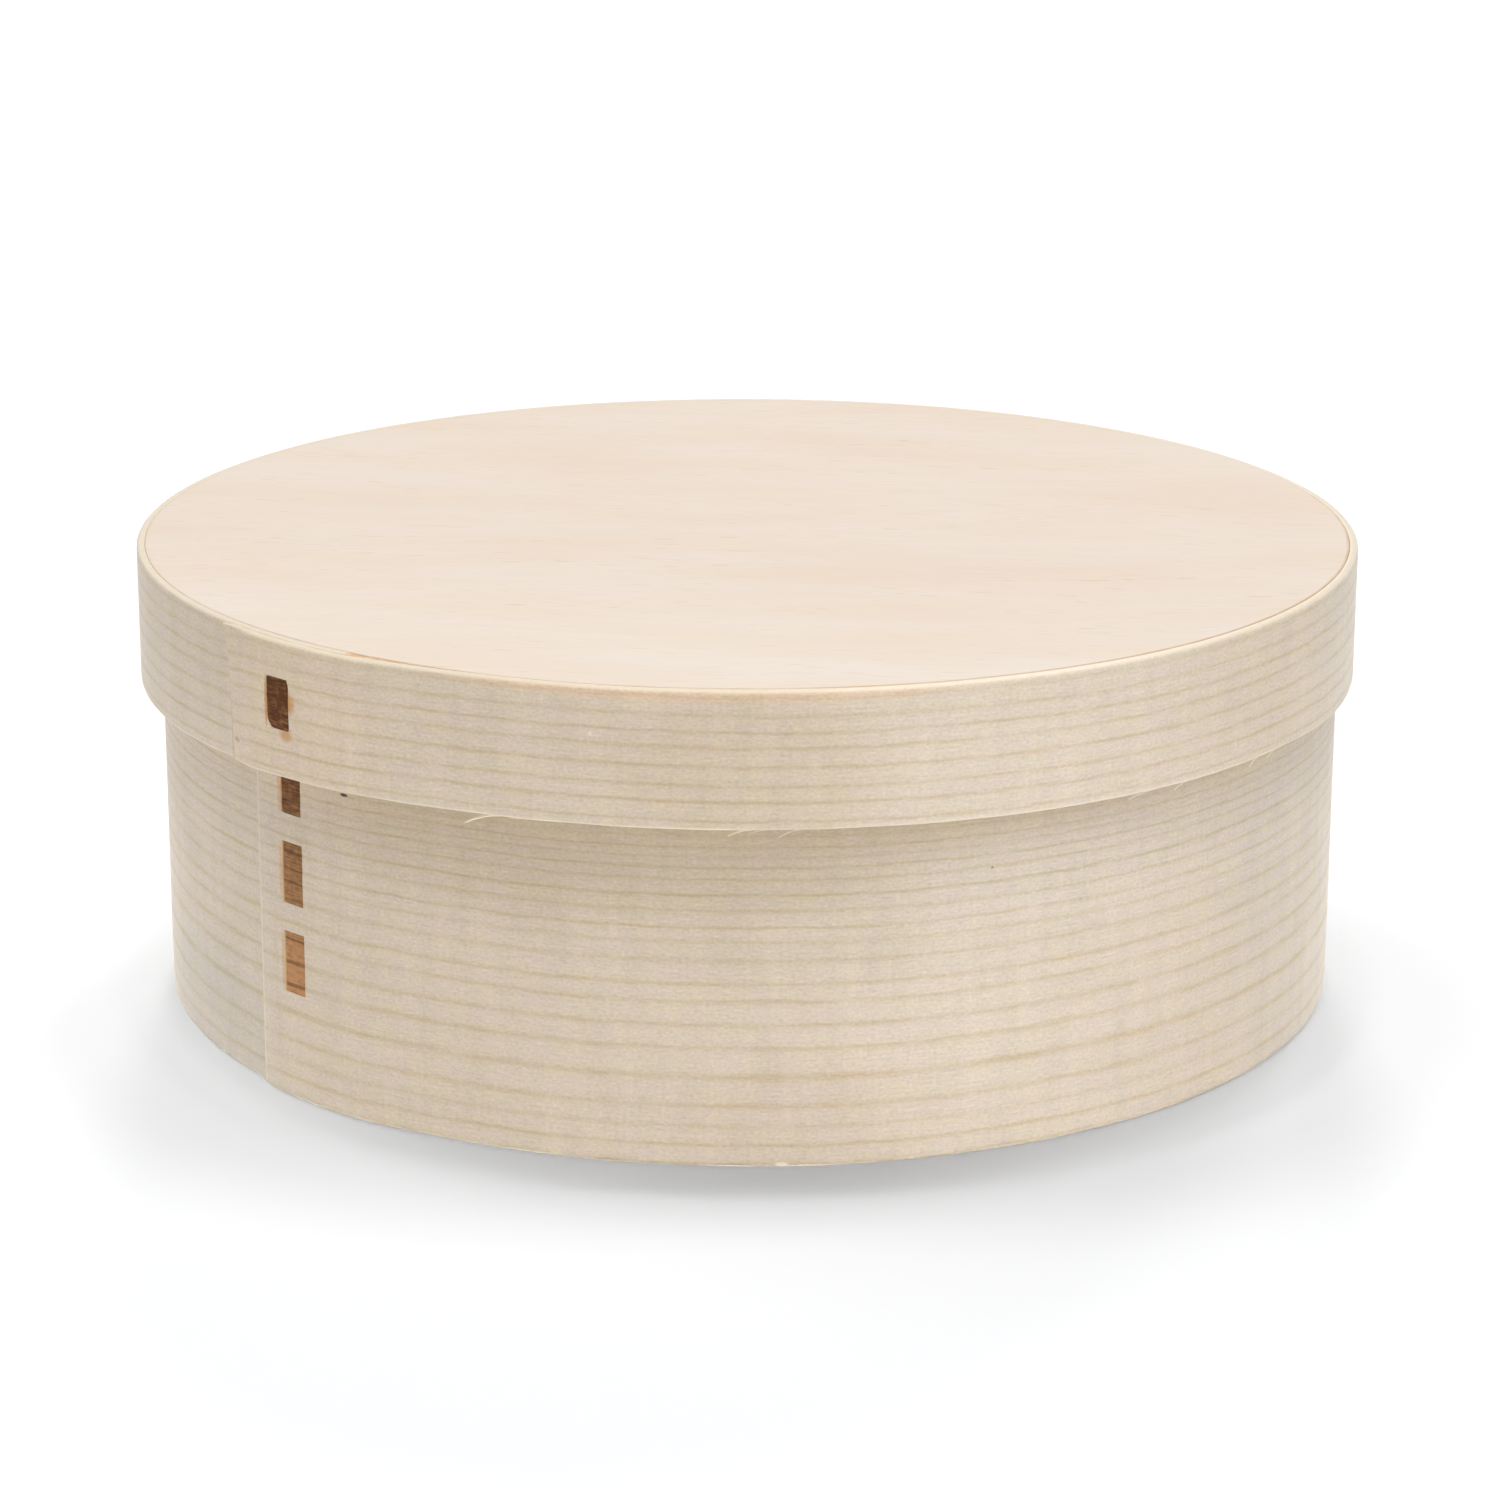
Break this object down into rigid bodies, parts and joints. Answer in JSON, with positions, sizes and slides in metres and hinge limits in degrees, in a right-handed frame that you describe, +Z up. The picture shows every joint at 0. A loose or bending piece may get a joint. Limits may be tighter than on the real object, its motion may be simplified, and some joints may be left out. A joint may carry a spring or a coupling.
{
  "type": "round wooden box",
  "caption": "Round bentwood food box: a lapped veneer body with an inset bottom and a cap lid that lifts off, each lap tied with bark lacing.",
  "frame": {"origin": "centre of the body's foot, on the surface that the box stands on", "axes": "+Z up, -Y the front that the picture shows, the seam to the left of the front"},
  "size_m": [0.15, 0.15, 0.0562],
  "materials": {
    "veneer": "bare straight-grained softwood veneer, planed, matte",
    "board": "bare fine-grained pale wood, sanded, matte",
    "bark": "brown bark strip with fine cross lines, satin"
  },
  "bodies": {
    "box": {"body_hoop": "veneer", "bottom_board": "board", "body_lacing": "bark"},
    "lid": {"lid_hoop": "veneer", "lid_board": "board", "lid_lacing": "bark"}
  },
  "joints": [
    {"name": "lid_lift", "type": "slide", "parent": "box", "child": "lid", "axis": [0, 0, 1], "range_m": [0, 0.08]}
  ]
}
